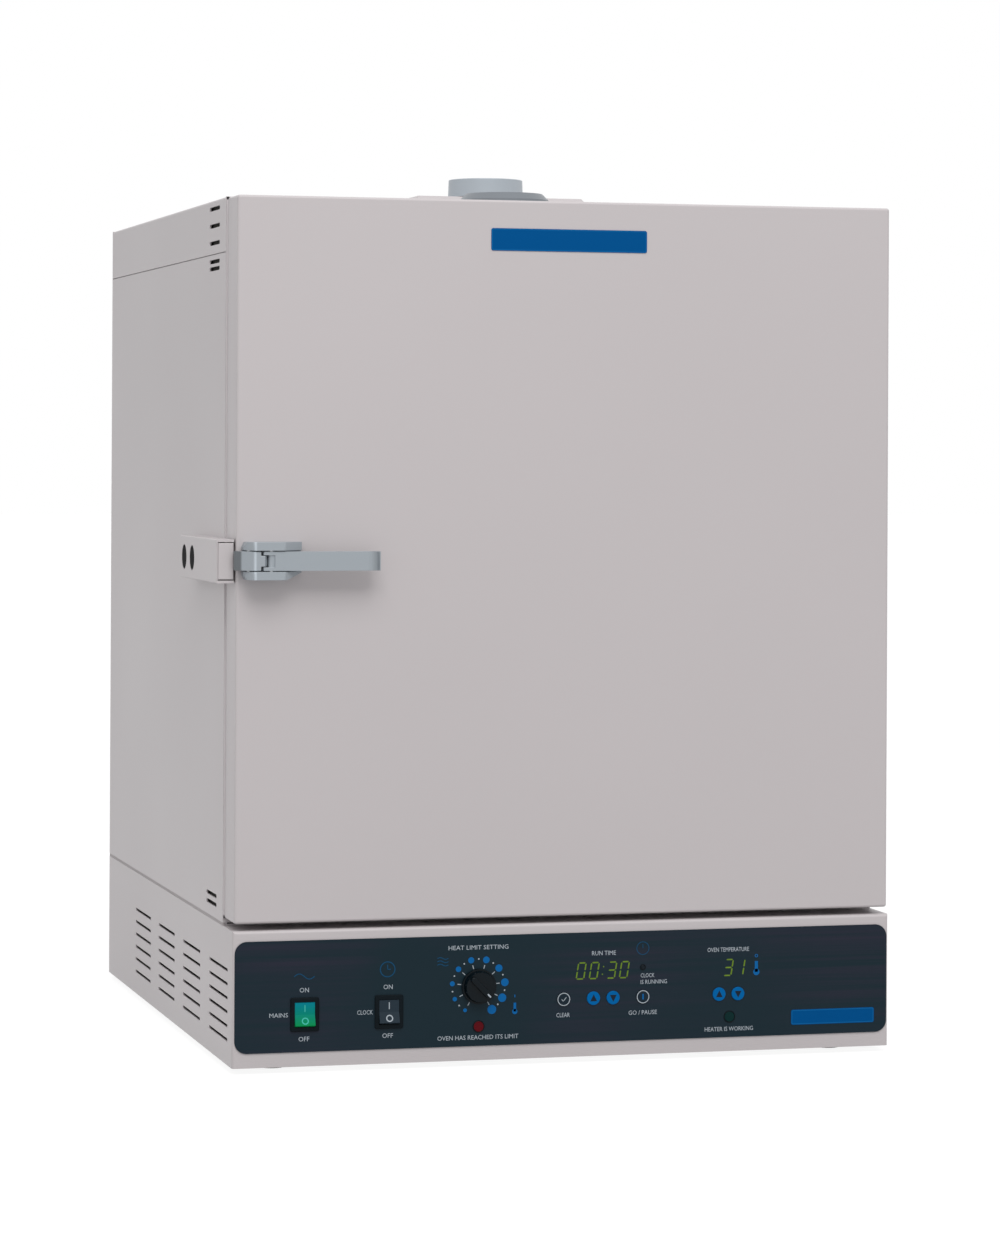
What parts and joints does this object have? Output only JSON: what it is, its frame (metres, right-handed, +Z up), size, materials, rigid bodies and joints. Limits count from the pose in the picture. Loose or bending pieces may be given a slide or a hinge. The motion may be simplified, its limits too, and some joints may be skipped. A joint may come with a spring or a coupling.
{
  "type": "laboratory oven",
  "caption": "Bench laboratory oven with a side-hinged insulated door, lever latch, low control base with displays and keys, shelves inside and a roof vent.",
  "frame": {"origin": "on the floor, at the centre of the overall box with the door shut", "axes": "+X to the right as seen from the front, +Y to the back, +Z up"},
  "size_m": [0.693, 0.7476, 0.8825],
  "materials": {
    "painted_shell": "light grey textured paint",
    "overlay_film": "dark satin film",
    "stainless": "brushed",
    "bright_steel": "bright plated",
    "cast_latch": "satin cast",
    "dark_cover": "dark satin",
    "black_plastic": "satin",
    "lit_rocker": "gloss, lit green",
    "blue_key": "gloss",
    "red_lens": "gloss",
    "green_lens": "gloss",
    "display_window": "gloss smoke",
    "board": "matt",
    "fibre": "dark loose fibre",
    "seal": "matt, pale",
    "feet_rubber": "matt",
    "zinc": "bare plated sheet",
    "element_sheath": "heat-dulled",
    "core_iron": "varnished"
  },
  "bodies": {
    "cabinet": {"back_panel": "painted_shell", "base_floor_pan": "zinc", "base_shell": "painted_shell", "cabinet_hinges": "bright_steel", "cabinet_wrap": "painted_shell", "chamber": "stainless", "control_board": "board", "control_overlay": "overlay_film", "diffuser_plate": "stainless", "exhaust_tube": "stainless", "front_frame": "painted_shell", "heater_relay": "black_plastic", "heating_element": "element_sheath", "heating_lamp": "green_lens", "insulation_blanket": "fibre", "levelling_feet": "feet_rubber", "lower_shelf": "bright_steel", "overtemp_bulb": "bright_steel", "overtemp_lamp": "red_lens", "overtemp_thermostat": "black_plastic", "port_cover": "dark_cover", "port_tube": "stainless", "power_inlet": "black_plastic", "power_switch_frame": "black_plastic", "rear_insulation": "fibre", "shelf_clips": "bright_steel", "shelf_standards": "stainless", "shutter_ring": "cast_latch", "strike_housing": "painted_shell", "strike_plate": "painted_shell", "strike_plugs": "black_plastic", "temperature_display": "display_window", "temperature_probe": "bright_steel", "timer_display": "display_window", "timer_lamp": "red_lens", "timer_switch_frame": "black_plastic", "top_cover": "painted_shell", "transformer": "core_iron", "upper_shelf": "bright_steel", "vent_pan": "painted_shell"},
    "door": {"door_shell": "painted_shell", "door_inner_pan": "stainless", "door_insulation": "fibre", "door_gasket": "seal", "door_hinges": "bright_steel", "latch_bracket": "cast_latch", "latch_pins": "bright_steel"},
    "latch_lever": {"latch_lever": "cast_latch"},
    "latch_hook": {"latch_hook": "cast_latch"},
    "power_rocker": {"power_rocker": "lit_rocker"},
    "timer_rocker": {"timer_rocker": "black_plastic"},
    "overtemp_knob": {"overtemp_knob": "black_plastic"},
    "reset_key": {"reset_key": "blue_key"},
    "timer_up_key": {"timer_up_key": "blue_key"},
    "timer_down_key": {"timer_down_key": "blue_key"},
    "start_key": {"start_key": "blue_key"},
    "temperature_up_key": {"temperature_up_key": "blue_key"},
    "temperature_down_key": {"temperature_down_key": "blue_key"},
    "vent_cap": {"vent_cap": "cast_latch"}
  },
  "joints": [
    {"name": "door_swing", "type": "hinge", "parent": "cabinet", "child": "door", "pos_m": [0.3415, -0.29975, 0.5], "axis": [0, 0, 1], "range_deg": [0, 175]},
    {"name": "lever_swing", "type": "hinge", "parent": "door", "child": "latch_lever", "pos_m": [-0.2979, -0.36795, 0.4912], "axis": [0, 0, 1], "range_deg": [-75, 0]},
    {"name": "hook_turn", "type": "hinge", "parent": "door", "child": "latch_hook", "pos_m": [-0.318, -0.35975, 0.4912], "axis": [0, 0, 1], "range_deg": [0, 22.5]},
    {"name": "power_rocker_tilt", "type": "hinge", "parent": "cabinet", "child": "power_rocker", "pos_m": [-0.2591, -0.34775, 0.056], "axis": [1, 0, 0], "range_deg": [0, 18]},
    {"name": "timer_rocker_tilt", "type": "hinge", "parent": "cabinet", "child": "timer_rocker", "pos_m": [-0.1761, -0.34775, 0.056], "axis": [1, 0, 0], "range_deg": [0, 18]},
    {"name": "overtemp_knob_turn", "type": "hinge", "parent": "cabinet", "child": "overtemp_knob", "pos_m": [-0.0868, -0.34875, 0.0778], "axis": [0, 1, 0], "range_deg": [-285, 14]},
    {"name": "reset_key_press", "type": "slide", "parent": "cabinet", "child": "reset_key", "axis": [0, 1, 0], "range_m": [0, 0.0008], "stiffness_N_per_m": 800},
    {"name": "timer_up_key_press", "type": "slide", "parent": "cabinet", "child": "timer_up_key", "axis": [0, 1, 0], "range_m": [0, 0.0008], "stiffness_N_per_m": 800},
    {"name": "timer_down_key_press", "type": "slide", "parent": "cabinet", "child": "timer_down_key", "axis": [0, 1, 0], "range_m": [0, 0.0008], "stiffness_N_per_m": 800},
    {"name": "start_key_press", "type": "slide", "parent": "cabinet", "child": "start_key", "axis": [0, 1, 0], "range_m": [0, 0.0008], "stiffness_N_per_m": 800},
    {"name": "temperature_up_key_press", "type": "slide", "parent": "cabinet", "child": "temperature_up_key", "axis": [0, 1, 0], "range_m": [0, 0.0008], "stiffness_N_per_m": 800},
    {"name": "temperature_down_key_press", "type": "slide", "parent": "cabinet", "child": "temperature_down_key", "axis": [0, 1, 0], "range_m": [0, 0.0008], "stiffness_N_per_m": 800},
    {"name": "vent_cap_turn", "type": "hinge", "parent": "cabinet", "child": "vent_cap", "pos_m": [0.003, -0.01875, 0.87], "axis": [0, 0, 1], "range_deg": [0, 90]}
  ],
  "couplings": [
    {"joint": "hook_turn", "follows": "lever_swing", "ratio": -0.3}
  ]
}
